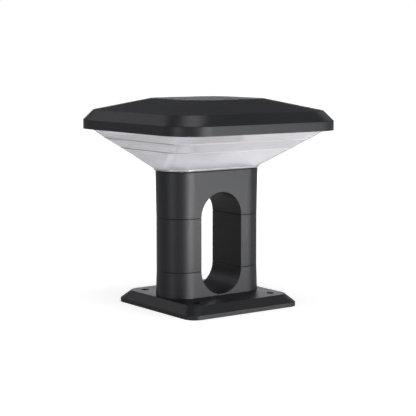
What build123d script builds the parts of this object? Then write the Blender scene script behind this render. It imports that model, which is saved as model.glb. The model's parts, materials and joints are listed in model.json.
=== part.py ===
from build123d import *
import os

os.makedirs("parts", exist_ok=True)

# Gate pillar light: base plate, slotted column, stepped diffuser and lift-off roof.
# Millimetres. Origin at the middle of the base's underside, +Z up.
# +X runs along the column's wide side, and the slot passes through it along Y.

# Fits
fit_gap = 0.1
slide_gap = 0.3

# Base plate
base_size = 203.0
base_corner_radius = 19.0
base_edge_height = 6.0
base_height = 18.3
base_plateau_size = 180.0
base_plateau_radius = 20.0
base_top_wall = 4.0
base_rim_width = 12.0
base_round = 1.2
mounting_spacing = 138.0
mounting_hole_diameter = 9.5
mounting_boss_diameter = 20.0
rib_thickness = 3.0
rib_offset_x = 30.0
rib_offset_y = 25.0
base_gasket_width = 4.6
base_gasket_thickness = 2.5

# Wiring chamber in the base, with its cover and cable inlet
chamber_width = 90.0
chamber_wall = 3.5
chamber_margin = 6.0
chamber_boss_diameter = 9.0
chamber_boss_sink = 1.5
cover_recess = 2.2
cover_thickness = 2.0
cover_thread_depth = 7.0
inlet_y = -22.0
inlet_bore_diameter = 10.0
inlet_grommet_wall = 3.5
inlet_grommet_lip = 3.0
inlet_grommet_lip_thickness = 1.6

# Terminal block and earth point
terminal_length = 32.0
terminal_height = 9.5
terminal_pitch = 6.0
terminal_poles = 3
terminal_wire_hole = 2.8
terminal_screw_diameter = 3.4
terminal_screw_length = 3.2
terminal_screw_recess = 0.8
terminal_ear_length = 7.0
terminal_ear_thickness = 3.0
ceiling_thread_depth = 3.0
earth_x = 42.0
earth_y = -25.0
earth_tag_diameter = 9.0
earth_tag_thickness = 1.0
earth_barrel_length = 7.0
earth_barrel_wall = 0.6
earth_lead_diameter = 2.6
earth_lead_bend = 10.0

# Column: lower arch, two legs and upper arch, drawn together by tie rods
column_width = 172.0
column_depth = 73.7
slot_width = 73.8
slot_sill = 2.0
leg_length = 80.5
upper_arch_height = 69.2
top_flare = 1.2
foot_flare = 1.2
leg_wall = 3.5
spigot_wall = 2.2
spigot_gap = 0.2
spigot_length = 8.0
edge_break = 0.6
arch_floor = 4.0
rim_depth = 8.0
spine_width = 12.0
spine_rise = 12.0
tie_boss_diameter = 14.0
tie_rod_diameter = 6.0
tie_rod_grip = 16.0
tie_rod_tail = 1.5
tie_washer_diameter = 12.8
tie_washer_thickness = 1.6
tie_nut_across_flats = 10.0
tie_nut_height = 5.0

# LED driver and the leads inside the column
driver_width = 34.0
driver_height = 17.0
driver_lid_thickness = 3.0
driver_lid_overlap = 1.0
driver_foot_length = 12.0
driver_foot_width = 12.0
driver_foot_thickness = 3.0
driver_seat_rise = 1.0
driver_thread_depth = 8.0
supply_lead_diameter = 6.4
supply_lead_bend = 12.0
supply_lead_stub = 15.5
supply_lead_offset = 13.0
lead_bend_share = 0.8
lead_slot_run = 5.0
lead_slot_gap = 0.6
led_lead_diameter = 3.0
led_lead_bend = 4.0
lead_grommet_wall = 1.8
lead_grommet_lip = 1.6
lead_grommet_lip_thickness = 1.2

# Column gasket, clamp plate and LED board
column_gasket_thickness = 2.0
gasket_setback = 4.0
clamp_plate_thickness = 3.0
clamp_plate_gap = 4.0
clamp_overlap = 7.0
clamp_screw_edge = 3.5
clamp_screw_spread = 40.0
clamp_thread_depth = 6.5
rim_lip = 2.0
thermal_pad_thickness = 0.5
lead_grommet_edge = 8.0
led_board_side_gap = 3.5
led_board_thickness = 1.6
led_board_screw_edge = 4.5
led_columns = 8
led_rows = 3
led_clearance = 2.0
led_side_margin = 11.0
led_length = 3.5
led_width = 2.8
led_height = 0.8
connector_length = 8.0
connector_width = 9.0
connector_cover = 1.2
connector_edge = 2.0

# Diffuser: a foot and three sloping bands, with a small round bead along each step
diffuser_overhang = 2.5
diffuser_wall = 2.2
diffuser_foot_wall = 3.0
foot_thickness = 2.0
flange_thickness = 3.0
bead_radius = 0.9
lower_band_height = 29.5
middle_band_height = 14.1
upper_band_height = 13.6
lower_step_setback_x = 25.2
lower_step_setback_y = 46.8
lower_step_radius = 35.0
upper_step_setback_x = 11.5
upper_step_setback_y = 30.7
upper_step_radius = 24.0
shoulder_setback = 12.0
shoulder_radius = 38.0
collar_height = 3.4
foot_end_flat = 1.0

# Roof, its gasket and the white reflector under it
roof_size = 300.0
roof_corner_radius = 50.0
roof_wall = 3.0
skirt_height = 14.0
chamfer_inset = 11.2
chamfer_radius = 50.0
chamfer_height = 15.2
roof_slope_height = 17.4
roof_plateau_size = 142.5
roof_plateau_radius = 33.0
roof_round = 1.5
flange_gap = 1.0
flange_lip = 7.0
roof_gasket_width = 3.6
roof_gasket_thickness = 1.5
roof_rib_width = 3.0
roof_screw_grip = 10.0
reflector_gap = 3.0
reflector_height = 7.0
reflector_sheet = 1.0
reflector_rise = 1.5
reflector_screw_offset = 50.0
reflector_boss_diameter = 9.0
reflector_thread_depth = 10.0

# Screws
small_screw_diameter = 3.0
small_head_diameter = 5.6
small_head_height = 1.6
large_screw_diameter = 4.0
large_head_diameter = 7.0
large_head_height = 2.6
socket_share = 0.5

# Heights worked out from the sizes above
ceiling_z = base_height - base_top_wall
tie_washer_z = ceiling_z - tie_washer_thickness
tie_nut_z = tie_washer_z - tie_nut_height
cover_z = cover_recess
cover_top_z = cover_z + cover_thickness
slot_radius = slot_width / 2
lower_seam_z = base_height + slot_sill + slot_radius
upper_seam_z = lower_seam_z + leg_length
column_top_z = upper_seam_z + upper_arch_height
rim_underside_z = column_top_z - rim_depth
foot_z = column_top_z + column_gasket_thickness
foot_top_z = foot_z + foot_thickness
clamp_top_z = foot_top_z + clamp_plate_thickness
board_z = clamp_top_z + thermal_pad_thickness
board_top_z = board_z + led_board_thickness
lower_step_z = foot_top_z + lower_band_height
upper_step_z = lower_step_z + middle_band_height
shoulder_z = upper_step_z + upper_band_height
flange_z = shoulder_z + collar_height
flange_top_z = flange_z + flange_thickness
roof_rib_z = flange_top_z + roof_gasket_thickness
skirt_top_z = shoulder_z + skirt_height
chamfer_top_z = skirt_top_z + chamfer_height
roof_top_z = chamfer_top_z + roof_slope_height
reflector_z = roof_rib_z + reflector_rise

# Plan sizes worked out from the sizes above
base_half = base_size / 2
plateau_half = base_plateau_size / 2
pocket_half = base_half - base_rim_width
gasket_middle = (base_half + pocket_half) / 2
gasket_radius = base_corner_radius - base_rim_width / 2
column_half_x = column_width / 2
column_half_y = column_depth / 2
casting_wall = leg_wall + spigot_gap + spigot_wall
cavity_radius = slot_radius + casting_wall
tie_rod_x = (slot_radius + column_half_x) / 2
chamber_half_x = tie_rod_x + tie_washer_diameter / 2 + chamber_margin
chamber_half_y = chamber_width / 2
driver_seat_z = upper_seam_z + cavity_radius + driver_seat_rise
spine_z = upper_seam_z + spine_rise
lead_x = -tie_rod_x
lead_y = supply_lead_offset
lead_z = ceiling_z - terminal_height / 2
driver_start_x = lead_x + supply_lead_stub
driver_end_x = -driver_start_x
driver_lead_z = driver_seat_z + driver_height / 2
earth_barrel_radius = earth_lead_diameter / 2 + fit_gap + earth_barrel_wall
earth_lead_z = ceiling_z - earth_barrel_radius
earth_barrel_y = earth_y + earth_tag_diameter / 2
foot_half_x = column_half_x + top_flare + diffuser_overhang
foot_half_y = column_half_y + top_flare + diffuser_overhang
foot_radius = foot_half_y - foot_end_flat / 2
clamp_half_x = foot_half_x - diffuser_foot_wall - clamp_plate_gap
clamp_half_y = foot_half_y - diffuser_foot_wall - clamp_plate_gap
mouth_half_x = clamp_half_x - clamp_overlap
mouth_half_y = clamp_half_y - clamp_overlap
lead_hole_radius = led_lead_diameter / 2 + fit_gap + lead_grommet_wall
lead_lip_radius = lead_hole_radius + lead_grommet_lip
grommet_x = mouth_half_x - lead_grommet_edge - lead_lip_radius
board_half_x = grommet_x - lead_lip_radius - connector_edge
board_half_y = mouth_half_y - led_board_side_gap
connector_x = board_half_x - connector_edge - connector_length / 2
led_reach_x = connector_x - connector_length / 2 - led_clearance - led_length / 2
led_reach_y = board_half_y - led_side_margin
led_pitch_x = 2 * led_reach_x / (led_columns - 1)
led_pitch_y = 2 * led_reach_y / (led_rows - 1)
connector_lead_z = clamp_top_z + lead_grommet_lip_thickness + led_lead_bend + fit_gap
connector_top_z = connector_lead_z + led_lead_diameter / 2 + connector_cover
roof_half = roof_size / 2
shoulder_half = roof_half - shoulder_setback
lower_step_half_x = shoulder_half - lower_step_setback_x
lower_step_half_y = shoulder_half - lower_step_setback_y
upper_step_half_x = shoulder_half - upper_step_setback_x
upper_step_half_y = shoulder_half - upper_step_setback_y
flange_half = roof_half - roof_wall - flange_gap
flange_radius = roof_corner_radius - roof_wall - flange_gap
flange_mouth_half = shoulder_half - flange_lip
roof_rib_middle = shoulder_half - flange_lip / 2
roof_screw_reach = (shoulder_half + flange_half) / 2
roof_boss_radius = roof_screw_reach - roof_rib_middle - roof_gasket_width / 2 - slide_gap

SIDES = (-1, 1)


def rounded(half_x, half_y, radius, z):
    """A rounded rectangle lying at height z."""
    return Pos(0, 0, z) * RectangleRounded(2 * half_x, 2 * half_y, radius)


def oblong(half_x, half_y, z):
    """An outline with full-round ends, lying at height z."""
    return Pos(0, 0, z) * SlotOverall(2 * half_x, 2 * half_y)


def prism(face, height):
    """A face raised straight up."""
    return extrude(face, amount=height)


def frustum(lower, upper):
    """A straight-sided body between two outlines."""
    return loft([lower, upper], ruled=True)


def block(x0, x1, y0, y1, z0, z1):
    """A box between two corners."""
    middle = Pos((x0 + x1) / 2, (y0 + y1) / 2, (z0 + z1) / 2)
    return middle * Box(x1 - x0, y1 - y0, z1 - z0)


def rod(x, y, z0, z1, diameter):
    """An upright cylinder between two heights."""
    return Pos(x, y, (z0 + z1) / 2) * Cylinder(diameter / 2, abs(z1 - z0))


def square_ring(middle_half, middle_radius, width, z, height):
    """A rounded square ring about the given middle line."""
    outer_half = middle_half + width / 2
    inner_half = middle_half - width / 2
    outer = rounded(outer_half, outer_half, middle_radius + width / 2, z)
    inner = rounded(inner_half, inner_half, middle_radius - width / 2, z)
    return prism(outer, height) - prism(inner, height)


def group(pieces):
    """Separate solids that share one node."""
    return Compound([piece.solid() for piece in pieces])


def both_signs(x, y):
    """The four points of a rectangle centred on the axis."""
    return [(sign_x * x, sign_y * y) for sign_x in SIDES for sign_y in SIDES]


def screw(x, y, seat_z, length, direction, diameter, head_diameter, head_height):
    """A pan-head socket screw; its shank runs from the seat along direction, +1 up or -1 down."""
    tip_z = seat_z + direction * length
    crown_z = seat_z - direction * head_height
    socket_z = crown_z + direction * head_height * socket_share
    socket_face = Pos(x, y, min(crown_z, socket_z)) * RegularPolygon(diameter / 2, 6)
    socket = prism(socket_face, abs(socket_z - crown_z))
    shank = rod(x, y, seat_z, tip_z, diameter)
    head = rod(x, y, crown_z, seat_z, head_diameter)
    return head + shank - socket


def small_screw(x, y, seat_z, length, direction):
    return screw(x, y, seat_z, length, direction,
                 small_screw_diameter, small_head_diameter, small_head_height)


def large_screw(x, y, seat_z, length, direction):
    return screw(x, y, seat_z, length, direction,
                 large_screw_diameter, large_head_diameter, large_head_height)


def small_hole(x, y, z0, z1):
    return rod(x, y, z0, z1, small_screw_diameter + 2 * fit_gap)


def grommet(x, y, z0, z1, bore, wall, lip, lip_thickness):
    """A rubber bush gripping a plate that lies between z0 and z1."""
    hole = bore + 2 * wall
    core = rod(x, y, z0, z1, hole - 2 * fit_gap)
    lower_lip = rod(x, y, z0 - lip_thickness, z0, hole + 2 * lip)
    upper_lip = rod(x, y, z1, z1 + lip_thickness, hole + 2 * lip)
    return core + lower_lip + upper_lip - rod(x, y, z0 - lip_thickness, z1 + lip_thickness, bore)


def lead(points, bend, diameter):
    """A round lead along straight runs with tangent bends."""
    shortest = min((Vector(*b) - Vector(*a)).length for a, b in zip(points, points[1:]))
    radius = min(bend, shortest * lead_bend_share)
    path = FilletPolyline(*points, radius=radius)
    start = Plane(origin=path @ 0, z_dir=path % 0)
    return sweep(start * Circle(diameter / 2), path=path)


def edges_at(shape, z):
    """The edges of a shape that lie at height z."""
    return shape.edges().filter_by_position(Axis.Z, z - fit_gap, z + fit_gap)


# Places that more than one piece uses
mounting_points = both_signs(mounting_spacing / 2, mounting_spacing / 2)
chamber_boss_reach = chamber_boss_diameter / 2 - chamber_boss_sink
cover_screw_points = both_signs(chamber_half_x - chamber_boss_reach, chamber_half_y - chamber_boss_reach)
tie_rod_points = [(sign * tie_rod_x, 0) for sign in SIDES]
terminal_half_y = terminal_poles * terminal_pitch / 2
terminal_rows = [lead_y - terminal_half_y + (pole + 0.5) * terminal_pitch for pole in range(terminal_poles)]
terminal_screw_points = [(sign * terminal_length / 4, y) for sign in SIDES for y in terminal_rows]
terminal_ear_points = [(0, lead_y + sign * (terminal_half_y + terminal_ear_length / 2)) for sign in SIDES]
clamp_points = both_signs(clamp_screw_spread, clamp_half_y - clamp_screw_edge)
clamp_points += [(sign * (clamp_half_x - clamp_screw_edge), 0) for sign in SIDES]
board_screw_points = both_signs(board_half_x - led_board_screw_edge, board_half_y - led_board_screw_edge)
driver_foot_xs = [driver_start_x - driver_foot_length / 2, driver_end_x + driver_foot_length / 2]
roof_screw_points = [(sign * roof_screw_reach, 0) for sign in SIDES]
roof_screw_points += [(0, sign * roof_screw_reach) for sign in SIDES]
reflector_screw_points = both_signs(reflector_screw_offset, reflector_screw_offset)


def tie_rod_holes(z0, z1):
    return [rod(x, y, z0, z1, tie_rod_diameter + 2 * slide_gap) for x, y in tie_rod_points]


def lead_slot(z0, z1):
    """The long hole where the supply lead rises out of the wiring chamber."""
    width = supply_lead_diameter + 2 * lead_slot_gap
    outline = Pos(lead_x + lead_slot_run / 2, lead_y, z0) * SlotOverall(width + lead_slot_run, width)
    return prism(outline, z1 - z0)


# Base group
def base_plate():
    foot = prism(rounded(base_half, base_half, base_corner_radius, 0), base_edge_height)
    slope = frustum(
        rounded(base_half, base_half, base_corner_radius, base_edge_height),
        rounded(plateau_half, plateau_half, base_plateau_radius, base_height),
    )
    body = foot + slope
    body = fillet(edges_at(body, base_edge_height) + edges_at(body, base_height), base_round)

    # Hollow underside: chamber walls, mounting bosses and ribs stay
    pocket = prism(rounded(pocket_half, pocket_half, base_corner_radius, 0), ceiling_z)
    wall_x = chamber_half_x + chamber_wall
    wall_y = chamber_half_y + chamber_wall
    stays = block(-wall_x, wall_x, -wall_y, wall_y, cover_top_z, ceiling_z)
    for x, y in mounting_points:
        stays += rod(x, y, 0, ceiling_z, mounting_boss_diameter)
    for sign in SIDES:
        rib_x = sign * rib_offset_x
        rib_y = sign * rib_offset_y
        half_rib = rib_thickness / 2
        stays += block(rib_x - half_rib, rib_x + half_rib, -base_half, base_half, cover_top_z, ceiling_z)
        stays += block(-base_half, base_half, rib_y - half_rib, rib_y + half_rib, cover_top_z, ceiling_z)
    chamber = block(-chamber_half_x, chamber_half_x, -chamber_half_y, chamber_half_y, 0, ceiling_z)
    for x, y in cover_screw_points:
        chamber -= rod(x, y, cover_top_z, ceiling_z, chamber_boss_diameter)
    body -= pocket - (stays - chamber)

    # Holes
    for x, y in mounting_points:
        body -= rod(x, y, 0, base_height, mounting_hole_diameter)
    for hole in tie_rod_holes(ceiling_z, base_height):
        body -= hole
    body -= lead_slot(ceiling_z, base_height)
    for x, y in cover_screw_points:
        body -= small_hole(x, y, cover_top_z, cover_top_z + cover_thread_depth)
    for x, y in terminal_ear_points:
        body -= small_hole(x, y, ceiling_z, ceiling_z + ceiling_thread_depth)
    earth_hole = large_screw_diameter + 2 * fit_gap
    body -= rod(earth_x, earth_y, ceiling_z, ceiling_z + ceiling_thread_depth, earth_hole)
    groove_width = base_gasket_width + 2 * fit_gap
    groove = square_ring(gasket_middle, gasket_radius, groove_width, 0, base_gasket_thickness)
    return body - groove


def base_gasket():
    return square_ring(gasket_middle, gasket_radius, base_gasket_width, 0, base_gasket_thickness)


def base_cover():
    wall_x = chamber_half_x + chamber_wall
    wall_y = chamber_half_y + chamber_wall
    plate = block(-wall_x, wall_x, -wall_y, wall_y, cover_z, cover_top_z)
    for x, y in cover_screw_points:
        plate -= small_hole(x, y, cover_z, cover_top_z)
    inlet_hole = inlet_bore_diameter + 2 * inlet_grommet_wall
    return plate - rod(0, inlet_y, cover_z, cover_top_z, inlet_hole)


def base_cover_screws():
    length = cover_thickness + cover_thread_depth - fit_gap
    return group(small_screw(x, y, cover_z, length, 1) for x, y in cover_screw_points)


def cable_grommet():
    return grommet(0, inlet_y, cover_z, cover_top_z, inlet_bore_diameter,
                   inlet_grommet_wall, inlet_grommet_lip, inlet_grommet_lip_thickness)


def terminal_block():
    half_x = terminal_length / 2
    floor_z = ceiling_z - terminal_height
    body = block(-half_x, half_x, lead_y - terminal_half_y, lead_y + terminal_half_y, floor_z, ceiling_z)
    ear_half_x = terminal_ear_length / 2
    ear_reach = terminal_half_y + terminal_ear_length
    body += block(-ear_half_x, ear_half_x, lead_y - ear_reach, lead_y + ear_reach,
                  ceiling_z - terminal_ear_thickness, ceiling_z)
    for x, y in terminal_ear_points:
        body -= small_hole(x, y, ceiling_z - terminal_ear_thickness, ceiling_z)
    for y in terminal_rows:
        wire_hole = Cylinder(terminal_wire_hole / 2, terminal_length)
        body -= Pos(0, y, lead_z) * Rot(0, 90, 0) * wire_hole
    well_depth = terminal_screw_recess + terminal_screw_length
    for x, y in terminal_screw_points:
        body -= rod(x, y, floor_z, floor_z + well_depth, terminal_screw_diameter + 2 * fit_gap)
    return body


def terminal_screws():
    z0 = ceiling_z - terminal_height + terminal_screw_recess
    slot_depth = terminal_screw_recess
    screws = []
    for x, y in terminal_screw_points:
        body = rod(x, y, z0, z0 + terminal_screw_length, terminal_screw_diameter)
        half_slot = slot_depth / 2
        half_long = terminal_screw_diameter / 2
        cut = block(x - half_long, x + half_long, y - half_slot, y + half_slot, z0, z0 + slot_depth)
        screws.append(body - cut)
    return group(screws)


def terminal_fixing_screws():
    seat_z = ceiling_z - terminal_ear_thickness
    length = terminal_ear_thickness + ceiling_thread_depth - fit_gap
    return group(small_screw(x, y, seat_z, length, 1) for x, y in terminal_ear_points)


def earth_tag():
    tag_z = ceiling_z - earth_tag_thickness
    ring = rod(earth_x, earth_y, tag_z, ceiling_z, earth_tag_diameter)
    tongue = block(earth_x - earth_barrel_radius, earth_x + earth_barrel_radius,
                   earth_y, earth_barrel_y + earth_barrel_length, tag_z, ceiling_z)
    barrel_middle = earth_barrel_y + earth_barrel_length / 2
    barrel = Pos(earth_x, barrel_middle, earth_lead_z) * Rot(90, 0, 0)
    tag = ring + tongue + barrel * Cylinder(earth_barrel_radius, earth_barrel_length)
    tag -= barrel * Cylinder(earth_lead_diameter / 2 + fit_gap, earth_barrel_length)
    return tag - rod(earth_x, earth_y, tag_z, ceiling_z, large_screw_diameter + 2 * fit_gap)


def earth_screw():
    seat_z = ceiling_z - earth_tag_thickness
    length = earth_tag_thickness + ceiling_thread_depth - fit_gap
    return large_screw(earth_x, earth_y, seat_z, length, 1)


def earth_lead():
    start = (terminal_length / 2, terminal_rows[0], earth_lead_z)
    corner = (earth_x, terminal_rows[0], earth_lead_z)
    end = (earth_x, earth_barrel_y, earth_lead_z)
    return lead([start, corner, end], earth_lead_bend, earth_lead_diameter)


# Column
def slot_round(z, radius):
    """A cylinder along Y at one end of the slot."""
    return Pos(0, 0, z) * Rot(90, 0, 0) * Cylinder(radius, base_size)


def leg_outline(inset, z):
    """One leg's section on the +X side, drawn in by inset."""
    inner_x = slot_radius + inset
    side = Pos(inner_x, 0) * Rectangle(column_width, column_width, align=(Align.MIN, Align.CENTER))
    outline = SlotOverall(column_width - 2 * inset, column_depth - 2 * inset) & side
    return Pos(0, 0, z) * outline


def leg():
    body = prism(leg_outline(0, lower_seam_z), leg_length)
    corners = body.edges().filter_by(Axis.Z).filter_by_position(Axis.X, 0, slot_radius + fit_gap)
    body = chamfer(corners + edges_at(body, lower_seam_z) + edges_at(body, upper_seam_z), edge_break)
    return body - prism(leg_outline(leg_wall, lower_seam_z), leg_length)


def spigots(z):
    """Collars that locate a casting inside both legs."""
    outer = leg_outline(leg_wall + spigot_gap, z)
    inner = leg_outline(casting_wall, z)
    collar = prism(outer, spigot_length) - prism(inner, spigot_length)
    return collar + mirror(collar, about=Plane.YZ)


def break_casting_edges(body, seam_z):
    """Small chamfers round the slot and along the seam of a casting."""
    edges = ShapeList()
    for face in body.faces().filter_by(GeomType.CYLINDER):
        edges += face.edges()
    edges += edges_at(body, seam_z)
    return chamfer(edges, edge_break)


def casting_cavity(z0, z1, seam_z):
    inside = oblong(column_half_x - casting_wall, column_half_y - casting_wall, z0)
    return prism(inside, z1 - z0) - slot_round(seam_z, cavity_radius)


def lower_arch():
    body = frustum(
        oblong(column_half_x + foot_flare, column_half_y + foot_flare, base_height),
        oblong(column_half_x, column_half_y, lower_seam_z),
    )
    body -= slot_round(lower_seam_z, slot_radius)
    body = break_casting_edges(body, lower_seam_z)
    body -= casting_cavity(base_height + arch_floor, lower_seam_z, lower_seam_z)
    body += spigots(lower_seam_z)
    for hole in tie_rod_holes(base_height, base_height + arch_floor):
        body -= hole
    return body - lead_slot(base_height, base_height + arch_floor)


def upper_arch():
    body = frustum(
        oblong(column_half_x, column_half_y, upper_seam_z),
        oblong(column_half_x + top_flare, column_half_y + top_flare, column_top_z),
    )
    body -= slot_round(upper_seam_z, slot_radius)
    body = break_casting_edges(body, upper_seam_z)
    body -= casting_cavity(upper_seam_z, rim_underside_z, upper_seam_z)
    mouth = oblong(mouth_half_x - rim_lip, mouth_half_y - rim_lip, rim_underside_z)
    body -= prism(mouth, rim_depth)
    body += spigots(upper_seam_z - spigot_length)

    # Spine over the arch: the driver's seat, with a boss for each tie rod
    half_spine = spine_width / 2
    spine = block(-column_half_x, column_half_x, -half_spine, half_spine, spine_z, driver_seat_z)
    for x, y in tie_rod_points:
        spine += rod(x, y, spine_z, driver_seat_z, tie_boss_diameter)
    half_wall = casting_wall / 2
    spine &= prism(oblong(column_half_x - half_wall, column_half_y - half_wall, spine_z), column_top_z)
    spine -= slot_round(upper_seam_z, slot_radius + half_wall)
    body += spine
    for x, y in tie_rod_points:
        body -= rod(x, y, spine_z, spine_z + tie_rod_grip, tie_rod_diameter + 2 * fit_gap)
    for x in driver_foot_xs:
        body -= small_hole(x, 0, driver_seat_z - driver_thread_depth, driver_seat_z)
    for x, y in clamp_points:
        body -= small_hole(x, y, column_top_z - clamp_thread_depth, column_top_z)
    return body


def tie_rods():
    z0 = tie_nut_z - tie_rod_tail
    z1 = spine_z + tie_rod_grip - fit_gap
    return group(rod(x, y, z0, z1, tie_rod_diameter) for x, y in tie_rod_points)


def tie_rod_washers():
    hole = tie_rod_diameter + 2 * fit_gap
    return group(
        rod(x, y, tie_washer_z, ceiling_z, tie_washer_diameter) - rod(x, y, tie_washer_z, ceiling_z, hole)
        for x, y in tie_rod_points
    )


def tie_rod_nuts():
    hole = tie_rod_diameter + 2 * fit_gap
    nuts = []
    for x, y in tie_rod_points:
        outline = Pos(x, y, tie_nut_z) * RegularPolygon(tie_nut_across_flats / 2, 6, major_radius=False)
        nuts.append(prism(outline, tie_nut_height) - rod(x, y, tie_nut_z, tie_washer_z, hole))
    return group(nuts)


# Driver and leads
def driver_case():
    half_y = driver_width / 2
    top_z = driver_seat_z + driver_height
    body = block(driver_start_x, driver_end_x, -half_y, half_y, driver_seat_z, top_z)
    half_foot = driver_foot_width / 2
    body += block(driver_start_x - driver_foot_length, driver_end_x + driver_foot_length,
                  -half_foot, half_foot, driver_seat_z, driver_seat_z + driver_foot_thickness)
    for x in driver_foot_xs:
        body -= small_hole(x, 0, driver_seat_z, driver_seat_z + driver_foot_thickness)
    return body


def driver_lid():
    half_y = driver_width / 2 + driver_lid_overlap
    z0 = driver_seat_z + driver_height
    return block(driver_start_x - driver_lid_overlap, driver_end_x + driver_lid_overlap,
                 -half_y, half_y, z0, z0 + driver_lid_thickness)


def driver_screws():
    seat_z = driver_seat_z + driver_foot_thickness
    length = driver_foot_thickness + driver_thread_depth - fit_gap
    return group(small_screw(x, 0, seat_z, length, -1) for x in driver_foot_xs)


def supply_lead():
    start = (-terminal_length / 2, lead_y, lead_z)
    below = (lead_x, lead_y, lead_z)
    above = (lead_x, lead_y, driver_lead_z)
    end = (driver_start_x, lead_y, driver_lead_z)
    return lead([start, below, above, end], supply_lead_bend, supply_lead_diameter)


def led_lead():
    start = (driver_end_x, 0, driver_lead_z)
    below = (grommet_x, 0, driver_lead_z)
    above = (grommet_x, 0, connector_lead_z)
    end = (connector_x + connector_length / 2, 0, connector_lead_z)
    return lead([start, below, above, end], led_lead_bend, led_lead_diameter)


def lead_grommet():
    bore = led_lead_diameter + 2 * fit_gap
    return grommet(grommet_x, 0, foot_top_z, clamp_top_z, bore,
                   lead_grommet_wall, lead_grommet_lip, lead_grommet_lip_thickness)


# Diffuser, clamp plate and LED board
def column_gasket():
    outer_x = column_half_x + top_flare - gasket_setback
    outer_y = column_half_y + top_flare - gasket_setback
    body = prism(oblong(outer_x, outer_y, column_top_z), column_gasket_thickness)
    body -= prism(oblong(mouth_half_x, mouth_half_y, column_top_z), column_gasket_thickness)
    for x, y in clamp_points:
        body -= small_hole(x, y, column_top_z, foot_z)
    return body


def step_outline(half_x, half_y, radius, inset, z):
    """The diffuser's section at a step, drawn in by inset."""
    return rounded(half_x - inset, half_y - inset, radius - inset, z)


def bead(step, z):
    """A small round rib along the edge where two bands meet."""
    path = step_outline(*step, 0, z).face().outer_wire()
    profile = Plane(origin=path @ 0, z_dir=path % 0) * Circle(bead_radius)
    return sweep(profile, path=path)


def diffuser():
    lower_step = (lower_step_half_x, lower_step_half_y, lower_step_radius)
    upper_step = (upper_step_half_x, upper_step_half_y, upper_step_radius)
    shoulder = (shoulder_half, shoulder_half, shoulder_radius)
    foot = prism(rounded(foot_half_x, foot_half_y, foot_radius, foot_z), foot_thickness)
    lower_band = frustum(
        rounded(foot_half_x, foot_half_y, foot_radius, foot_top_z),
        step_outline(*lower_step, 0, lower_step_z),
    )
    middle_band = frustum(
        step_outline(*lower_step, 0, lower_step_z),
        step_outline(*upper_step, 0, upper_step_z),
    )
    upper_band = frustum(
        step_outline(*upper_step, 0, upper_step_z),
        step_outline(*shoulder, 0, shoulder_z),
    )
    collar = prism(step_outline(*shoulder, 0, shoulder_z), collar_height)
    flange = prism(rounded(flange_half, flange_half, flange_radius, flange_z), flange_thickness)
    shell = foot + lower_band + middle_band + upper_band + collar + flange
    shell += bead(lower_step, lower_step_z)
    shell += bead(upper_step, upper_step_z)

    # Inside: the same bands without beads, set in and up by the wall
    foot_inset = diffuser_foot_wall
    inner_foot_radius = foot_radius - foot_inset
    inner_foot = rounded(foot_half_x - foot_inset, foot_half_y - foot_inset, inner_foot_radius, foot_top_z)
    inner_lower = step_outline(*lower_step, diffuser_wall, lower_step_z + diffuser_wall)
    inner_upper = step_outline(*upper_step, diffuser_wall, upper_step_z + diffuser_wall)
    inner_shoulder = step_outline(*shoulder, diffuser_wall, shoulder_z + diffuser_wall)
    hollow = frustum(inner_foot, inner_lower) + frustum(inner_lower, inner_upper)
    hollow += frustum(inner_upper, inner_shoulder)
    hollow += prism(inner_shoulder, collar_height - diffuser_wall)
    shell -= hollow
    mouth_radius = shoulder_radius - flange_lip
    shell -= prism(rounded(flange_mouth_half, flange_mouth_half, mouth_radius, flange_z), flange_thickness)
    shell -= prism(oblong(mouth_half_x, mouth_half_y, foot_z), foot_thickness)
    for x, y in clamp_points:
        shell -= small_hole(x, y, foot_z, foot_top_z)
    for x, y in roof_screw_points:
        shell -= rod(x, y, flange_z, flange_top_z, large_screw_diameter + 2 * fit_gap)
    return shell


def clamp_plate():
    body = prism(oblong(clamp_half_x, clamp_half_y, foot_top_z), clamp_plate_thickness)
    for x, y in clamp_points:
        body -= small_hole(x, y, foot_top_z, clamp_top_z)
    for x, y in board_screw_points:
        body -= small_hole(x, y, foot_top_z, clamp_top_z)
    return body - rod(grommet_x, 0, foot_top_z, clamp_top_z, 2 * lead_hole_radius)


def clamp_screws():
    stack = clamp_plate_thickness + foot_thickness + column_gasket_thickness
    length = stack + clamp_thread_depth - fit_gap
    return group(small_screw(x, y, clamp_top_z, length, -1) for x, y in clamp_points)


def board_sheet(z0, z1):
    body = block(-board_half_x, board_half_x, -board_half_y, board_half_y, z0, z1)
    for x, y in board_screw_points:
        body -= small_hole(x, y, z0, z1)
    return body


def thermal_pad():
    return board_sheet(clamp_top_z, board_z)


def led_board():
    return board_sheet(board_z, board_top_z)


def led_chips():
    chips = []
    for column in range(led_columns):
        for row in range(led_rows):
            x = column * led_pitch_x - led_reach_x
            y = row * led_pitch_y - led_reach_y
            half_x = led_length / 2
            half_y = led_width / 2
            chip_top_z = board_top_z + led_height
            chips.append(block(x - half_x, x + half_x, y - half_y, y + half_y, board_top_z, chip_top_z))
    return group(chips)


def led_connector():
    half_x = connector_length / 2
    half_y = connector_width / 2
    return block(connector_x - half_x, connector_x + half_x, -half_y, half_y,
                 board_top_z, connector_top_z)


def led_board_screws():
    length = led_board_thickness + thermal_pad_thickness + clamp_plate_thickness - fit_gap
    return group(small_screw(x, y, board_top_z, length, -1) for x, y in board_screw_points)


# Roof
def roof_stack(inset, bottom_z):
    """The roof's outside, or its inside when set in and down by the wall."""
    half = roof_half - inset
    radius = roof_corner_radius - inset
    plateau = roof_plateau_size / 2 - inset
    chamfer_top = rounded(half - chamfer_inset, half - chamfer_inset,
                          chamfer_radius - inset, chamfer_top_z - inset)
    skirt = prism(rounded(half, half, radius, bottom_z), skirt_top_z - inset - bottom_z)
    chamfer_band = frustum(rounded(half, half, radius, skirt_top_z - inset), chamfer_top)
    slope_band = frustum(
        chamfer_top,
        rounded(plateau, plateau, roof_plateau_radius - inset, roof_top_z - inset),
    )
    return skirt + chamfer_band + slope_band


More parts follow.
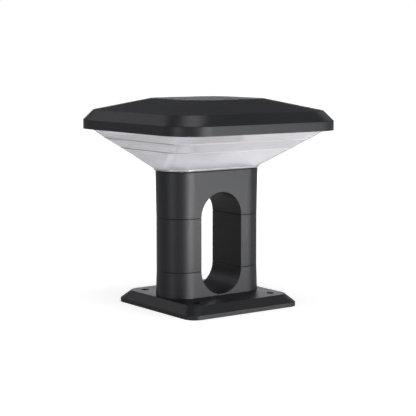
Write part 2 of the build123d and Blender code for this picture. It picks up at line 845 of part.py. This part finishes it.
def roof():
    outside = roof_stack(0, shoulder_z)
    ridges = edges_at(outside, skirt_top_z) + edges_at(outside, chamfer_top_z) + edges_at(outside, roof_top_z)
    body = fillet(ridges, roof_round) - roof_stack(roof_wall, shoulder_z)
    inner_height = roof_top_z - roof_rib_z
    rib_radius = shoulder_radius - flange_lip / 2
    fittings = square_ring(roof_rib_middle, rib_radius, roof_rib_width, roof_rib_z, inner_height)
    for x, y in roof_screw_points:
        fittings += rod(x, y, flange_top_z + slide_gap, roof_top_z, 2 * roof_boss_radius)
    for x, y in reflector_screw_points:
        fittings += rod(x, y, reflector_z + reflector_sheet, roof_top_z, reflector_boss_diameter)
    body += fittings & roof_stack(roof_wall / 2, shoulder_z)
    for x, y in roof_screw_points:
        hole = large_screw_diameter + 2 * slide_gap
        body -= rod(x, y, flange_top_z, flange_top_z + roof_screw_grip + slide_gap, hole)
    for x, y in reflector_screw_points:
        body -= small_hole(x, y, reflector_z, reflector_z + reflector_sheet + reflector_thread_depth)
    return body


def roof_gasket():
    radius = shoulder_radius - flange_lip / 2
    return square_ring(roof_rib_middle, radius, roof_gasket_width, flange_top_z, roof_gasket_thickness)


def roof_screws():
    length = flange_thickness + roof_screw_grip
    return group(large_screw(x, y, flange_z, length, 1) for x, y in roof_screw_points)


def roof_reflector():
    half = roof_rib_middle - roof_rib_width / 2 - reflector_gap
    radius = shoulder_radius - (shoulder_half - half)
    inner_half = half - reflector_sheet
    floor_z = reflector_z + reflector_sheet
    body = prism(rounded(half, half, radius, reflector_z), reflector_height)
    body -= prism(rounded(inner_half, inner_half, radius - reflector_sheet, floor_z), reflector_height)
    for x, y in reflector_screw_points:
        body -= small_hole(x, y, reflector_z, floor_z)
    return body


def reflector_screws():
    length = reflector_sheet + reflector_thread_depth - fit_gap
    return group(small_screw(x, y, reflector_z, length, 1) for x, y in reflector_screw_points)


PIECES = {
    "base_plate": base_plate,
    "base_gasket": base_gasket,
    "base_cover": base_cover,
    "base_cover_screws": base_cover_screws,
    "cable_grommet": cable_grommet,
    "terminal_block": terminal_block,
    "terminal_screws": terminal_screws,
    "terminal_fixing_screws": terminal_fixing_screws,
    "earth_tag": earth_tag,
    "earth_screw": earth_screw,
    "earth_lead": earth_lead,
    "lower_arch": lower_arch,
    "leg_right": leg,
    "leg_left": lambda: mirror(leg(), about=Plane.YZ),
    "upper_arch": upper_arch,
    "tie_rods": tie_rods,
    "tie_rod_washers": tie_rod_washers,
    "tie_rod_nuts": tie_rod_nuts,
    "driver_case": driver_case,
    "driver_lid": driver_lid,
    "driver_screws": driver_screws,
    "supply_lead": supply_lead,
    "led_lead": led_lead,
    "lead_grommet": lead_grommet,
    "column_gasket": column_gasket,
    "diffuser": diffuser,
    "clamp_plate": clamp_plate,
    "clamp_screws": clamp_screws,
    "thermal_pad": thermal_pad,
    "led_board": led_board,
    "led_chips": led_chips,
    "led_connector": led_connector,
    "led_board_screws": led_board_screws,
    "roof": roof,
    "roof_gasket": roof_gasket,
    "roof_screws": roof_screws,
    "roof_reflector": roof_reflector,
    "reflector_screws": reflector_screws,
}

for name, make in PIECES.items():
    export_step(make(), f"parts/{name}.step")
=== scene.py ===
import json
import math
import bmesh
import bpy
from mathutils import Matrix, Vector


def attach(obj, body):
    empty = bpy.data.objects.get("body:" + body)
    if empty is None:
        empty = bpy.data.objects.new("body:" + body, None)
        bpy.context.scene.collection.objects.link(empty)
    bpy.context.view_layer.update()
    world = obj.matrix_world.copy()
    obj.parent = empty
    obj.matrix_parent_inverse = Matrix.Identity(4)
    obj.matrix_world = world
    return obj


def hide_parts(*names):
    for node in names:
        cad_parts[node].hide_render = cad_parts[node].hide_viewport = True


# Looks of the gate pillar light: finishes for every solid, the LED packages, the diffuser's
# shell, the studio and the camera.
# Metres, in the frame of the solids: origin under the base, +Z up, slot along Y.

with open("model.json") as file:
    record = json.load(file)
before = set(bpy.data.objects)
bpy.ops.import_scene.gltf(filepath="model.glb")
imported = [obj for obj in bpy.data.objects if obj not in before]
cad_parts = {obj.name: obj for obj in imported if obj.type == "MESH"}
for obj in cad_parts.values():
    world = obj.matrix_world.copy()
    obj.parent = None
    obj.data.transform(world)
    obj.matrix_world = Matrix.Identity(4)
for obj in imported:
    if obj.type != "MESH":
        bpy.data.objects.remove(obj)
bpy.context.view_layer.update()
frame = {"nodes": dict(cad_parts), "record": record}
nodes = frame["nodes"]
scene = bpy.context.scene
scene.view_settings.view_transform = "Standard"
white = (1.0, 1.0, 1.0, 1.0)


# Small helpers for node trees
def put(tree, kind, links=None, **settings):
    """Adds a node, sets its options, and fills its inputs with values or other sockets."""
    made = tree.nodes.new(kind)
    for name, value in settings.items():
        setattr(made, name, value)
    for place, value in (links or {}).items():
        if isinstance(value, bpy.types.NodeSocket):
            tree.links.new(value, made.inputs[place])
        else:
            made.inputs[place].default_value = value
    return made


def math_node(tree, operation, a, b=0.0):
    return put(tree, "ShaderNodeMath", {0: a, 1: b}, operation=operation).outputs[0]


def vector_node(tree, operation, a, b=(0.0, 0.0, 0.0)):
    return put(tree, "ShaderNodeVectorMath", {0: a, 1: b}, operation=operation).outputs


def remap(tree, value, low, high, to_low, to_high):
    """A value stretched from one range to another, held at the ends."""
    links = {"Value": value, "From Min": low, "From Max": high,
             "To Min": to_low, "To Max": to_high}
    return put(tree, "ShaderNodeMapRange", links).outputs["Result"]


def blend_colours(tree, factor, first, second):
    made = put(tree, "ShaderNodeMix", {0: factor, 6: first, 7: second}, data_type="RGBA")
    return made.outputs[2]


def noise(tree, where, scale, detail=2.0, roughness=0.5):
    """Noise whose lumps are about 1 / scale across, in metres."""
    links = {"Vector": where, "Scale": scale, "Detail": detail, "Roughness": roughness}
    return put(tree, "ShaderNodeTexNoise", links).outputs["Fac"]


def new_group(name, inputs, outputs):
    """An empty node group with a vector input, named value inputs and named outputs."""
    tree = bpy.data.node_groups.new(name, "ShaderNodeTree")
    tree.interface.new_socket("Place", in_out="INPUT", socket_type="NodeSocketVector")
    for label, value in inputs.items():
        socket = tree.interface.new_socket(label, in_out="INPUT", socket_type="NodeSocketFloat")
        socket.default_value = value
    for label in outputs:
        tree.interface.new_socket(label, in_out="OUTPUT", socket_type="NodeSocketFloat")
    return tree, tree.nodes.new("NodeGroupInput"), tree.nodes.new("NodeGroupOutput")


# Shared skins; each size is that of one lump, cloud, stain or scratch
lump_size = 0.0014
cloud_size = 0.05
speck_fineness = 1.2
texture_size = 0.0006
flow_size = 0.03
scratch_size = 0.0003
scratch_stretch = (0.04, 1.0, 1.0)
stain_size = 0.02


def powder_skin_group():
    """Cured powder: orange-peel lumps, faint clouds of tone and a grain of glossier specks."""
    tree, given, result = new_group(
        "powder_skin", {"Lump Size": lump_size, "Cloud Size": cloud_size},
        ["Height", "Tone", "Speck"])
    where = given.outputs["Place"]
    scale = math_node(tree, "DIVIDE", 1.0, given.outputs["Lump Size"])
    lumps = noise(tree, where, scale, detail=3.0, roughness=0.55)
    cells = put(tree, "ShaderNodeTexVoronoi",
                {"Vector": where, "Scale": scale, "Smoothness": 0.6}, feature="SMOOTH_F1")
    height = math_node(tree, "ADD", lumps, cells.outputs["Distance"])
    cloud_scale = math_node(tree, "DIVIDE", 1.0, given.outputs["Cloud Size"])
    clouds = noise(tree, where, cloud_scale, detail=4.0)
    speck_scale = math_node(tree, "MULTIPLY", scale, speck_fineness)
    specks = noise(tree, where, speck_scale, detail=1.0)
    tree.links.new(height, result.inputs["Height"])
    tree.links.new(remap(tree, clouds, 0.3, 0.7, 0.0, 1.0), result.inputs["Tone"])
    tree.links.new(remap(tree, specks, 0.38, 0.62, 0.0, 1.0), result.inputs["Speck"])
    return tree


def moulded_skin_group():
    """Moulded plastic or rubber: a soft flow unevenness under a fine matte texture."""
    tree, given, result = new_group(
        "moulded_skin", {"Texture Size": texture_size}, ["Height", "Tone"])
    where = given.outputs["Place"]
    fine = noise(tree, where, math_node(tree, "DIVIDE", 1.0, given.outputs["Texture Size"]))
    flow = noise(tree, where, 1.0 / flow_size, detail=3.0)
    tree.links.new(fine, result.inputs["Height"])
    tree.links.new(remap(tree, flow, 0.3, 0.7, 0.0, 1.0), result.inputs["Tone"])
    return tree


def rolled_metal_group():
    """Rolled or turned metal: long fine scratches one way and faint stains."""
    tree, given, result = new_group(
        "rolled_metal", {"Scratch Size": scratch_size}, ["Height", "Tone", "Stain"])
    where = given.outputs["Place"]
    stretched = put(tree, "ShaderNodeMapping", {"Vector": where, "Scale": scratch_stretch})
    scale = math_node(tree, "DIVIDE", 1.0, given.outputs["Scratch Size"])
    scratches = noise(tree, stretched.outputs[0], scale, detail=3.0, roughness=0.7)
    stains = noise(tree, where, 1.0 / stain_size, detail=4.0, roughness=0.6)
    tree.links.new(scratches, result.inputs["Height"])
    tree.links.new(remap(tree, scratches, 0.35, 0.65, 0.0, 1.0), result.inputs["Tone"])
    tree.links.new(remap(tree, stains, 0.45, 0.75, 0.0, 1.0), result.inputs["Stain"])
    return tree


powder_skin = powder_skin_group()
moulded_skin = moulded_skin_group()
rolled_metal = rolled_metal_group()


class Finish:
    """One material: a Principled shader with its texture place, ready to be fed."""

    def __init__(self, name):
        self.material = bpy.data.materials.new(name)
        self.material.use_nodes = True
        self.tree = self.material.node_tree
        self.shader = self.tree.nodes["Principled BSDF"]
        self.place = self.tree.nodes.new("ShaderNodeTexCoord").outputs["Object"]

    def plain(self, label, value):
        self.shader.inputs[label].default_value = value

    def skin(self, tree, **sizes):
        """Places a shared skin with its own sizes; returns the skin's outputs."""
        made = put(self.tree, "ShaderNodeGroup", node_tree=tree)
        self.tree.links.new(self.place, made.inputs["Place"])
        for label, size in sizes.items():
            made.inputs[label.replace("_", " ")].default_value = size
        return made.outputs

    def feed(self, label, socket):
        self.tree.links.new(socket, self.shader.inputs[label])

    def colour(self, factor, first, second):
        self.feed("Base Color", blend_colours(self.tree, factor, (*first, 1.0), (*second, 1.0)))

    def roughness(self, factor, low, high):
        self.feed("Roughness", remap(self.tree, factor, 0.0, 1.0, low, high))

    def bump(self, height, strength, depth):
        links = {"Height": height, "Strength": strength, "Distance": depth}
        self.feed("Normal", put(self.tree, "ShaderNodeBump", links).outputs[0])


# Finishes of the castings, the diffuser, the moulded pieces and the bare metal
bolt_spacing = 0.138
hole_shade_reach = 0.0062
hole_shade_fade = 0.0003
# Painted shade: the near-black colour in and round the base's bolt holes
hole_shade_colour = (0.002, 0.002, 0.002, 1.0)
rim_roughness = 1.0
coat_sheen = 0.36
coat_sheen_tint = (0.957, 0.957, 1.0, 1.0)
coat_dark = (0.0072, 0.0075, 0.0084, 1.0)
coat_light = (0.0092, 0.0095, 0.0106, 1.0)
coat_dull, coat_glossy = 0.52, 0.39
clear_plastic_index = 1.49
clear_plastic_texture = 0.0009


def painted_hole_shade_mask(finish):
    """A mask for painted shade and a duller coat: full in the base's four bolt holes, fading just
    outside them.
    """
    tree = finish.tree
    corner = vector_node(tree, "ABSOLUTE", finish.place)["Vector"]
    flat = vector_node(tree, "MULTIPLY", corner, (1.0, 1.0, 0.0))["Vector"]
    hole = (bolt_spacing / 2, bolt_spacing / 2, 0.0)
    reach = vector_node(tree, "DISTANCE", flat, hole)["Value"]
    return remap(tree, reach, hole_shade_reach - hole_shade_fade, hole_shade_reach + hole_shade_fade, 1.0, 0.0)


def black_coat(name, paint_hole_shade=False):
    """Satin black powder coat of the castings; on the base, painted shade makes the bolt holes and
    their rims near black, and the coat there is fully rough.
    """
    finish = Finish(name)
    finish.plain("Specular IOR Level", coat_sheen)
    finish.plain("Specular Tint", coat_sheen_tint)
    skin = finish.skin(powder_skin)
    tree = finish.tree
    coat = blend_colours(tree, skin["Tone"], coat_dark, coat_light)
    gloss = remap(tree, skin["Speck"], 0.0, 1.0, coat_dull, coat_glossy)
    if paint_hole_shade:
        # Painted shade: the bolt holes and their rims go near black; the coat there is also fully
        # rough
        hole_shade = painted_hole_shade_mask(finish)
        coat = blend_colours(tree, hole_shade, coat, hole_shade_colour)
        gloss = remap(tree, hole_shade, 0.0, 1.0, gloss, rim_roughness)
    finish.feed("Base Color", coat)
    finish.feed("Roughness", gloss)
    finish.bump(skin["Height"], strength=0.2, depth=0.0002)
    return finish.material


def frosted(name, clear, first, second, low, high):
    """Frosted clear moulding. With a low clear share and grey colours it also makes the finish of
    the ribs and cut edges, whose grey is painted shade.
    """
    finish = Finish(name)
    finish.plain("IOR", clear_plastic_index)
    finish.plain("Transmission Weight", clear)
    skin = finish.skin(moulded_skin, Texture_Size=clear_plastic_texture)
    finish.colour(skin["Tone"], first, second)
    finish.roughness(skin["Tone"], low, high)
    finish.bump(skin["Height"], strength=0.02, depth=0.0001)
    return finish.material


def moulded(name, first, second, low, high, texture=texture_size):
    finish = Finish(name)
    skin = finish.skin(moulded_skin, Texture_Size=texture)
    finish.colour(skin["Tone"], first, second)
    finish.roughness(skin["Tone"], low, high)
    finish.bump(skin["Height"], strength=0.2, depth=0.0001)
    return finish.material


def metal(name, first, second, low, high, scratch=scratch_size):
    finish = Finish(name)
    finish.plain("Metallic", 1.0)
    skin = finish.skin(rolled_metal, Scratch_Size=scratch)
    finish.colour(skin["Stain"], first, second)
    finish.roughness(skin["Tone"], low, high)
    finish.bump(skin["Height"], strength=0.15, depth=0.00005)
    return finish.material


# Each moulded or metal row: two colours, lowest and highest roughness, and a size if not the usual
moulded_rows = {
    "black_rubber": ((0.012, 0.012, 0.012), (0.02, 0.02, 0.021), 0.6, 0.75),
    "white_nylon": ((0.78, 0.78, 0.74), (0.84, 0.84, 0.81), 0.45, 0.55),
    "grey_plastic": ((0.30, 0.31, 0.33), (0.34, 0.35, 0.37), 0.5, 0.6, 0.001),
    "green_yellow_pvc": ((0.10, 0.36, 0.05), (0.65, 0.60, 0.04), 0.4, 0.5),
    "black_pvc": ((0.012, 0.012, 0.013), (0.022, 0.022, 0.023), 0.42, 0.52),
    "white_pvc": ((0.74, 0.74, 0.74), (0.80, 0.80, 0.80), 0.4, 0.5),
    "grey_pad": ((0.22, 0.23, 0.26), (0.27, 0.28, 0.31), 0.7, 0.85, 0.001),
    "white_board": ((0.80, 0.80, 0.78), (0.84, 0.84, 0.82), 0.38, 0.46),
    "led_phosphor": ((0.80, 0.58, 0.10), (0.86, 0.66, 0.16), 0.25, 0.32),
    "white_enamel": ((0.80, 0.80, 0.79), (0.84, 0.84, 0.83), 0.28, 0.36, 0.002),
}
metal_rows = {
    "zinc_sheet": ((0.58, 0.60, 0.63), (0.48, 0.50, 0.54), 0.3, 0.48, 0.0006),
    "stainless": ((0.62, 0.61, 0.59), (0.55, 0.54, 0.52), 0.22, 0.34),
    "brass": ((0.72, 0.52, 0.22), (0.60, 0.42, 0.18), 0.25, 0.38),
    "bare_aluminium": ((0.78, 0.79, 0.80), (0.70, 0.71, 0.72), 0.3, 0.45),
}
finishes = {slot: moulded(slot, *row) for slot, row in moulded_rows.items()}
finishes.update({slot: metal(slot, *row) for slot, row in metal_rows.items()})
finishes["black_powder_coat"] = black_coat("black_coat")
finishes["frosted_clear"] = frosted(
    "frosted_clear", 0.72, (0.765, 0.757, 0.788), (0.775, 0.767, 0.798), 0.13, 0.15)

for row in frame["record"]["subparts"]:
    mesh = nodes[row["node"]].data
    mesh.materials.clear()
    mesh.materials.append(finishes[row["material_slot"]])
# The base's coat carries painted shade in its bolt holes
nodes["base_plate"].data.materials[0] = black_coat("black_coat_base", paint_hole_shade=True)


def new_piece(name, form, *finishes_used):
    """Turns a bmesh into an object that rides on the stand."""
    bmesh.ops.recalc_face_normals(form, faces=form.faces)
    mesh = bpy.data.meshes.new(name)
    form.to_mesh(mesh)
    form.free()
    for finish in finishes_used:
        mesh.materials.append(finish)
    piece = bpy.data.objects.new(name, mesh)
    scene.collection.objects.link(piece)
    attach(piece, "stand")
    return piece


# LED packages, their solder pads and the board's tracks, in the places of the plain chips
package_rim = 0.00035
window_depth = 0.00012
package_round = 0.00012
pad_reach = 0.0006
pad_height = 0.00006
track_width = 0.0016
track_height = 0.00003


def add_block(form, low, high):
    """A box between two corners; returns its vertices."""
    place = Matrix.Translation((low + high) / 2) @ Matrix.Diagonal((*(high - low), 1.0))
    return bmesh.ops.create_cube(form, size=1.0, matrix=place)["verts"]


def add_package(form, low, high):
    """A white housing with rounded edges and a rim round a sunken window of phosphor."""
    corners = add_block(form, low, high)
    faces = {face for corner in corners for face in corner.link_faces}
    window = max(faces, key=lambda face: face.calc_center_median().z)
    edges = [edge for edge in {edge for face in faces for edge in face.edges}
             if any(corner.co.z > low.z for corner in edge.verts)]
    bmesh.ops.inset_region(form, faces=[window], thickness=package_rim)
    bmesh.ops.bevel(form, geom=edges, offset=package_round, affect="EDGES", segments=2,
                    profile=0.5, material=-1)
    bmesh.ops.translate(form, vec=(0.0, 0.0, -window_depth), verts=window.verts)
    window.material_index = 1


def chip_spans(values):
    """Lowest and highest value of each chip along one axis."""
    marks = sorted({round(value, 6) for value in values})
    return list(zip(marks[0::2], marks[1::2]))


def led_packages():
    chips = [corner.co for corner in nodes["led_chips"].data.vertices]
    columns = chip_spans(corner.x for corner in chips)
    rows = chip_spans(corner.y for corner in chips)
    low_z, high_z = chip_spans(corner.z for corner in chips)[0]
    packages, pads, tracks = bmesh.new(), bmesh.new(), bmesh.new()
    for y0, y1 in rows:
        for x0, x1 in columns:
            add_package(packages, Vector((x0, y0, low_z)), Vector((x1, y1, high_z)))
            for pad_x in (x0 - pad_reach, x1):
                add_block(pads, Vector((pad_x, y0, low_z)),
                          Vector((pad_x + pad_reach, y1, low_z + pad_height)))
        middle_y = (y0 + y1) / 2
        for (_, start_x), (end_x, _) in zip(columns, columns[1:]):
            add_block(tracks,
                      Vector((start_x + pad_reach, middle_y - track_width / 2, low_z)),
                      Vector((end_x - pad_reach, middle_y + track_width / 2,
                              low_z + track_height)))
    housing = moulded("led_housing", (0.82, 0.82, 0.80), (0.86, 0.86, 0.84), 0.35, 0.42, 0.0003)
    solder = metal("solder", (0.66, 0.67, 0.69), (0.56, 0.57, 0.60), 0.24, 0.40, 0.0002)
    masked_track = moulded("masked_track", (0.74, 0.74, 0.70), (0.78, 0.78, 0.75), 0.36, 0.44)
    lights = new_piece("led_packages", packages, housing, finishes["led_phosphor"])
    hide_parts("led_chips")
    new_piece("solder_pads", pads, solder)
    new_piece("board_tracks", tracks, masked_track)


led_packages()


# Diffuser: a thin flared shell of three bands, with a fine rib along each step.
# Each outline is a rounded rectangle: half its width, half its depth, and its corner radius.
foot_low_z, foot_top_z = 0.2089, 0.2109
lower_step_z, upper_step_z = 0.2404, 0.2545
shoulder_z, flange_low_z, flange_top_z = 0.2681, 0.2715, 0.2745
foot_outline = (0.0897, 0.04055, 0.04005)
lower_step_outline = (0.1128, 0.0912, 0.035)
upper_step_outline = (0.1265, 0.1073, 0.024)
shoulder_outline = (0.138, 0.138, 0.038)
flange_outline = (0.146, 0.146, 0.046)
flange_mouth_outline = (0.131, 0.131, 0.031)
foot_mouth_outline = (0.0757, 0.02655, 0.0264)
wall = 0.0022
foot_wall = 0.003
foot_edge = 0.0003
rib_reach = 0.0006
rib_foot = 0.0008
rib_half_height = 0.0004
rib_fall = 0.0006
corner_steps = 16
stack_pitch = 0.05
crease_angle = math.radians(18.0)


def grown(outline, reach):
    """An outline moved outwards all round, or inwards with a negative reach."""
    return tuple(length + reach for length in outline)


def between(low, high, share):
    """An outline part of the way up the band between two others."""
    return tuple(a + (b - a) * share for a, b in zip(low, high))


def add_ring(form, outline, z):
    """A loop of edges round a rounded rectangle; returns its edges and corners."""
    half_x, half_y, radius = outline
    place = Matrix.Translation((0.0, 0.0, z)) @ Matrix.Diagonal((half_x, half_y, 1.0, 1.0))
    corners = bmesh.ops.create_grid(
        form, x_segments=1, y_segments=1, size=1.0, matrix=place)["verts"]
    rounded = bmesh.ops.bevel(form, geom=corners, offset=radius, affect="VERTICES",
                              segments=corner_steps, profile=0.5, material=-1)["verts"]
    sheet = rounded[0].link_faces[0]
    edges, points = list(sheet.edges), list(sheet.verts)
    bmesh.ops.delete(form, geom=[sheet], context="FACES_ONLY")
    return edges, points


def rib_rings(below, step, above, below_z, step_z, above_z):
    """The four rings of a fine rib that stands out of the edge where two bands meet."""
    start = between(below, step, 1.0 - rib_foot / (step_z - below_z))
    crest = grown(step, rib_reach)
    end = between(step, above, rib_fall / (above_z - step_z))
    return [(start, step_z - rib_foot, False), (crest, step_z - rib_half_height, True),
            (crest, step_z + rib_half_height, True), (end, step_z + rib_fall, True)]


def diffuser_rings():
    """Rings round the closed shell: outline, height, and whether the strip to it takes the grey
    finish that paints shade.
    """
    inner_shoulder = grown(shoulder_outline, -wall)
    return [
        (grown(foot_outline, -foot_edge), foot_low_z, False),
        (foot_outline, foot_low_z + foot_edge, False),
        (foot_outline, foot_top_z, False),
        *rib_rings(foot_outline, lower_step_outline, upper_step_outline,
                   foot_top_z, lower_step_z, upper_step_z),
        *rib_rings(lower_step_outline, upper_step_outline, shoulder_outline,
                   lower_step_z, upper_step_z, shoulder_z),
        (shoulder_outline, shoulder_z, False),
        (shoulder_outline, flange_low_z, False),
        (flange_outline, flange_low_z, False),
        (flange_outline, flange_top_z, True),
        (flange_mouth_outline, flange_top_z, False),
        (flange_mouth_outline, flange_low_z, True),
        (inner_shoulder, flange_low_z, False),
        (inner_shoulder, shoulder_z + wall, False),
        (grown(upper_step_outline, -wall), upper_step_z + wall, False),
        (grown(lower_step_outline, -wall), lower_step_z + wall, False),
        (grown(foot_outline, -foot_wall), foot_top_z, False),
        (foot_mouth_outline, foot_top_z, False),
        (foot_mouth_outline, foot_low_z, True),
    ]


def diffuser_shell():
    """Joins the rings while they stand apart as one tall stack, then sets their heights."""
    form = bmesh.new()
    rings = diffuser_rings()
    loops = [add_ring(form, outline, place * stack_pitch)
             for place, (outline, _, _) in enumerate(rings)]
    for place, (_, _, shaded_strip) in enumerate(rings):
        both = loops[place - 1][0] + loops[place][0]
        for face in bmesh.ops.bridge_loops(form, edges=both)["faces"]:
            face.smooth = True
            face.material_index = 1 if shaded_strip else 0
    for place, (_, z, _) in enumerate(rings):
        lift = (0.0, 0.0, z - place * stack_pitch)
        bmesh.ops.translate(form, vec=lift, verts=loops[place][1])
    # Ribs and cut edges: less clear, and grey as painted shade for the dark lines along the steps
    rib_shade_finish = frosted(
        "frosted_edge_shade", 0.1, (0.355, 0.35, 0.368), (0.375, 0.37, 0.388), 0.32, 0.38)
    shell = new_piece("diffuser_shell", form, finishes["frosted_clear"], rib_shade_finish)
    shell.data.set_sharp_from_angle(angle=crease_angle)
    weighted = shell.modifiers.new("even_shading", "WEIGHTED_NORMAL")
    weighted.keep_sharp = True
    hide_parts("diffuser")


diffuser_shell()


# Studio: a white sweep for the eye, dimmer for the light that it gives back
floor_radius = 60.0
floor_sides = 64
floor_drop = 0.0002
floor_grey = (0.5, 0.5, 0.5, 1.0)
floor_glow_near, floor_glow_far = 0.78, 1.0
glow_near_reach, glow_far_reach = 0.35, 1.5
floor_light, floor_gloss = 0.9, 0.28
room_light, room_gloss = 0.12, 0.205
room_tone = (0.87, 0.885, 1.0, 1.0)
aim = Vector((0.0, 0.0, 0.16))


def seen_level(tree, light, gloss):
    """Full where seen straight or through the diffuser, dimmer for the light and gloss given."""
    path = tree.nodes.new("ShaderNodeLightPath").outputs
    straight = math_node(tree, "MAXIMUM", path["Is Camera Ray"], path["Is Transmission Ray"])
    given = remap(tree, path["Is Glossy Ray"], 0.0, 1.0, light, gloss)
    return remap(tree, straight, 0.0, 1.0, given, 1.0)


def studio_paper():
    """White paper that glows a little less near the object, so its shadow stays in view."""
    material = bpy.data.materials.new("studio_paper")
    material.use_nodes = True
    tree = material.node_tree
    tree.nodes.clear()
    place = tree.nodes.new("ShaderNodeTexCoord").outputs["Object"]
    reach = vector_node(tree, "LENGTH", place)["Value"]
    level = remap(tree, reach, glow_near_reach, glow_far_reach, floor_glow_near, floor_glow_far)
    strength = math_node(tree, "MULTIPLY", seen_level(tree, floor_light, floor_gloss), level)
    matte = put(tree, "ShaderNodeBsdfDiffuse", {"Color": floor_grey})
    glow = put(tree, "ShaderNodeEmission", {"Color": white, "Strength": strength})
    paper = put(tree, "ShaderNodeAddShader", {0: matte.outputs[0], 1: glow.outputs[0]})
    clear = tree.nodes.new("ShaderNodeBsdfTransparent")
    below = tree.nodes.new("ShaderNodeNewGeometry").outputs["Backfacing"]
    shown = put(tree, "ShaderNodeMixShader",
                {0: below, 1: paper.outputs[0], 2: clear.outputs[0]})
    put(tree, "ShaderNodeOutputMaterial", {"Surface": shown.outputs[0]})
    return material


def studio_floor():
    mesh = bpy.data.meshes.new("studio_floor")
    form = bmesh.new()
    bmesh.ops.create_circle(form, cap_ends=True, segments=floor_sides, radius=floor_radius,
                            matrix=Matrix.Translation((0.0, 0.0, -floor_drop)))
    form.to_mesh(mesh)
    form.free()
    mesh.materials.append(studio_paper())
    floor = bpy.data.objects.new("studio_floor", mesh)
    scene.collection.objects.link(floor)


def surroundings():
    """A white room, a little cool where the castings mirror it."""
    world = bpy.data.worlds.new("studio")
    world.use_nodes = True
    tree = world.node_tree
    sky = tree.nodes["Background"]
    mirrored = tree.nodes.new("ShaderNodeLightPath").outputs["Is Glossy Ray"]
    tree.links.new(blend_colours(tree, mirrored, white, room_tone), sky.inputs["Color"])
    tree.links.new(seen_level(tree, room_light, room_gloss), sky.inputs["Strength"])
    scene.world = world


def softbox(name, bearing, distance, height, size, power):
    """A flat lamp turned to the object; bearing 0 stands in front, 90 at the right."""
    lamp = bpy.data.lights.new(name, "AREA")
    lamp.shape = "RECTANGLE"
    lamp.size, lamp.size_y = size
    lamp.energy = power
    turn = math.radians(bearing)
    box = bpy.data.objects.new(name, lamp)
    box.location = (math.sin(turn) * distance, -math.cos(turn) * distance, height)
    box.rotation_euler = (box.location - aim).to_track_quat("Z", "Y").to_euler()
    box.visible_camera = False
    scene.collection.objects.link(box)


# Each lamp: bearing in degrees, distance and height in metres, size of its face, and watts
softboxes = {
    "front_softbox": (7.5, 0.85, 0.06, (0.42, 0.11), 6.9),
    "right_softbox": (40.0, 0.9, 0.05, (0.33, 0.09), 2.1),
    "left_softbox": (-76.0, 1.3, 0.15, (0.36, 0.28), 2.5),
    "rear_softbox": (147.0, 2.2, 0.39, (1.6, 0.4), 6.2),
    "rear_left_softbox": (-150.0, 1.9, 1.33, (0.9, 0.9), 4.1),
    "high_right_softbox": (100.0, 1.9, 1.33, (0.9, 0.9), 1.7),
    "top_softbox": (-36.0, 0.35, 2.33, (1.1, 1.1), 18.5),
}
studio_floor()
surroundings()
for name, row in softboxes.items():
    softbox(name, *row)

# Camera, fitted to the photograph's outlines; it looks down a little from the front left
camera_place = (-1.18628, -1.62129, 0.38855)
camera_down = 6.85
camera_turn = -36.23
camera_lens, camera_sensor = 114.61, 36.0
camera_data = bpy.data.cameras.new("photo_camera")
camera_data.sensor_width = camera_sensor
camera_data.lens = camera_lens
camera = bpy.data.objects.new("photo_camera", camera_data)
camera.location = camera_place
camera.rotation_euler = (math.radians(90.0 - camera_down), 0.0, math.radians(camera_turn))
scene.collection.objects.link(camera)
scene.camera = camera
